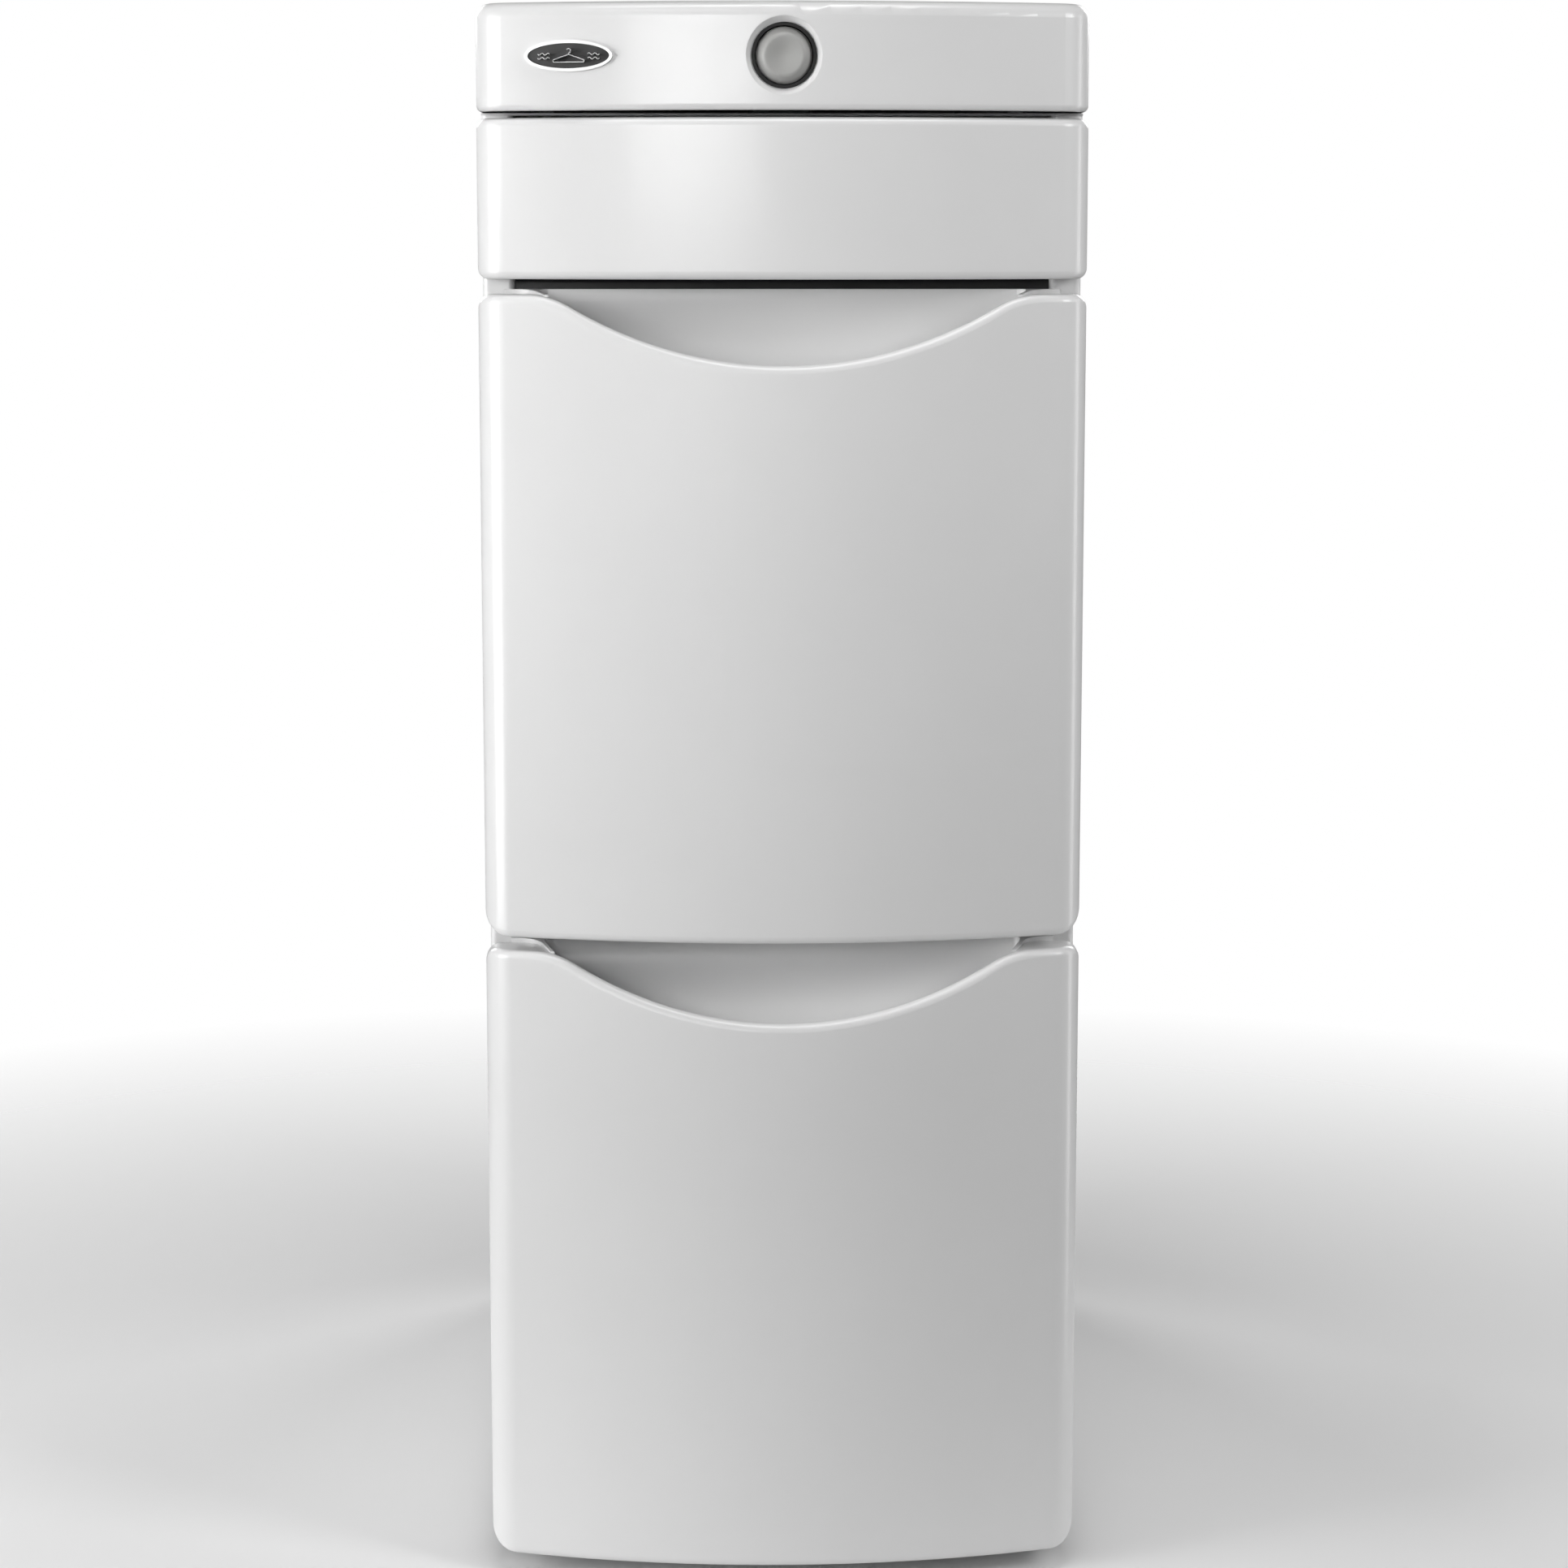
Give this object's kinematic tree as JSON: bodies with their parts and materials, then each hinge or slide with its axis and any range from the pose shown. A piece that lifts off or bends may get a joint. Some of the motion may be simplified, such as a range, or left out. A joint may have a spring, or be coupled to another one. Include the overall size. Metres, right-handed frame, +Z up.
{
  "type": "laundry storage tower",
  "caption": "Narrow white laundry storage tower with a cap that holds a pull-out garment rod, a shallow drawer and deep pull-out bins with bowed fronts and finger scoops.",
  "frame": {"origin": "on the floor, under the middle of the tower's box", "axes": "+Z up; the front faces -Y; +X is to the right seen from the front"},
  "size_m": [0.381, 0.7, 1.0075],
  "materials": {
    "white_enamel": "gloss baked enamel",
    "grey_enamel": "satin enamel",
    "black_enamel": "satin black enamel",
    "galvanised_steel": "galvanised sheet",
    "slide_steel": "bright zinc",
    "zinc_steel": "zinc plated",
    "white_plastic": "gloss moulded",
    "tray_plastic": "fine texture",
    "knob_grey": "satin moulded",
    "black_plastic": "satin",
    "badge_chrome": "polished",
    "rod_chrome": "polished",
    "badge_dark": "gloss",
    "bumper_rubber": "soft clear",
    "foot_rubber": "moulded on a steel stud"
  },
  "bodies": {
    "cabinet": {"back_panel": "white_enamel", "back_panel_screws": "zinc_steel", "badge_bezel": "badge_chrome", "badge_plate": "badge_dark", "base_pan": "galvanised_steel", "bumpers": "bumper_rubber", "cap_screws": "zinc_steel", "drawer_fixed_rail_left": "slide_steel", "drawer_fixed_rail_right": "slide_steel", "foot_nuts": "zinc_steel", "front_rail_lower": "black_enamel", "front_rail_upper": "black_enamel", "knob_ring": "black_plastic", "lower_bin_fixed_rail_left": "slide_steel", "lower_bin_fixed_rail_right": "slide_steel", "rear_upright_left": "galvanised_steel", "rear_upright_right": "galvanised_steel", "rod_front_bracket": "galvanised_steel", "rod_guide_tube": "galvanised_steel", "rod_push_latch": "black_plastic", "rod_rear_bracket": "galvanised_steel", "side_panel_left": "white_enamel", "side_panel_right": "white_enamel", "top_cap": "white_plastic", "top_deck": "white_enamel", "upper_bin_fixed_rail_left": "slide_steel", "upper_bin_fixed_rail_right": "slide_steel"},
    "drawer_slides": {"drawer_middle_rail_left": "slide_steel", "drawer_middle_rail_right": "slide_steel"},
    "drawer": {"drawer_front": "white_plastic", "drawer_inner_panel": "white_enamel", "drawer_inner_rail_left": "slide_steel", "drawer_inner_rail_right": "slide_steel", "drawer_screws": "zinc_steel", "drawer_tray": "tray_plastic"},
    "upper_bin_slides": {"upper_bin_middle_rail_left": "slide_steel", "upper_bin_middle_rail_right": "slide_steel"},
    "upper_bin": {"upper_bin_back": "grey_enamel", "upper_bin_front": "white_plastic", "upper_bin_inner_panel": "white_plastic", "upper_bin_inner_rail_left": "slide_steel", "upper_bin_inner_rail_right": "slide_steel", "upper_bin_screws": "zinc_steel", "upper_bin_wrap": "grey_enamel"},
    "lower_bin_slides": {"lower_bin_middle_rail_left": "slide_steel", "lower_bin_middle_rail_right": "slide_steel"},
    "lower_bin": {"lower_bin_back": "grey_enamel", "lower_bin_front": "white_plastic", "lower_bin_inner_panel": "white_plastic", "lower_bin_inner_rail_left": "slide_steel", "lower_bin_inner_rail_right": "slide_steel", "lower_bin_screws": "zinc_steel", "lower_bin_wrap": "grey_enamel"},
    "rod": {"hanger_rod": "rod_chrome", "rod_knob": "knob_grey"},
    "rod_middle": {"rod_middle_tube": "rod_chrome"},
    "foot_front_left": {"levelling_foot_front_left": "foot_rubber"},
    "foot_front_right": {"levelling_foot_front_right": "foot_rubber"},
    "foot_rear_left": {"levelling_foot_rear_left": "foot_rubber"},
    "foot_rear_right": {"levelling_foot_rear_right": "foot_rubber"}
  },
  "joints": [
    {"name": "rod_slide", "type": "slide", "parent": "cabinet", "child": "rod", "axis": [0, -1, 0], "range_m": [-0.003, 0.3]},
    {"name": "rod_middle_slide", "type": "slide", "parent": "cabinet", "child": "rod_middle", "axis": [0, -1, 0], "range_m": [-0.0015, 0.15]},
    {"name": "drawer_slide", "type": "slide", "parent": "cabinet", "child": "drawer", "axis": [0, -1, 0], "range_m": [0, 0.4]},
    {"name": "drawer_slides_run", "type": "slide", "parent": "cabinet", "child": "drawer_slides", "axis": [0, -1, 0], "range_m": [0, 0.2]},
    {"name": "upper_bin_slide", "type": "slide", "parent": "cabinet", "child": "upper_bin", "axis": [0, -1, 0], "range_m": [0, 0.45]},
    {"name": "upper_bin_slides_run", "type": "slide", "parent": "cabinet", "child": "upper_bin_slides", "axis": [0, -1, 0], "range_m": [0, 0.225]},
    {"name": "lower_bin_slide", "type": "slide", "parent": "cabinet", "child": "lower_bin", "axis": [0, -1, 0], "range_m": [0, 0.45]},
    {"name": "lower_bin_slides_run", "type": "slide", "parent": "cabinet", "child": "lower_bin_slides", "axis": [0, -1, 0], "range_m": [0, 0.225]},
    {"name": "foot_front_left_screw", "type": "slide", "parent": "cabinet", "child": "foot_front_left", "axis": [0, 0, -1], "range_m": [0, 0.018]},
    {"name": "foot_front_right_screw", "type": "slide", "parent": "cabinet", "child": "foot_front_right", "axis": [0, 0, -1], "range_m": [0, 0.018]},
    {"name": "foot_rear_left_screw", "type": "slide", "parent": "cabinet", "child": "foot_rear_left", "axis": [0, 0, -1], "range_m": [0, 0.018]},
    {"name": "foot_rear_right_screw", "type": "slide", "parent": "cabinet", "child": "foot_rear_right", "axis": [0, 0, -1], "range_m": [0, 0.018]}
  ],
  "couplings": [
    {"joint": "rod_middle_slide", "follows": "rod_slide", "ratio": 0.5},
    {"joint": "drawer_slides_run", "follows": "drawer_slide", "ratio": 0.5},
    {"joint": "upper_bin_slides_run", "follows": "upper_bin_slide", "ratio": 0.5},
    {"joint": "lower_bin_slides_run", "follows": "lower_bin_slide", "ratio": 0.5}
  ]
}
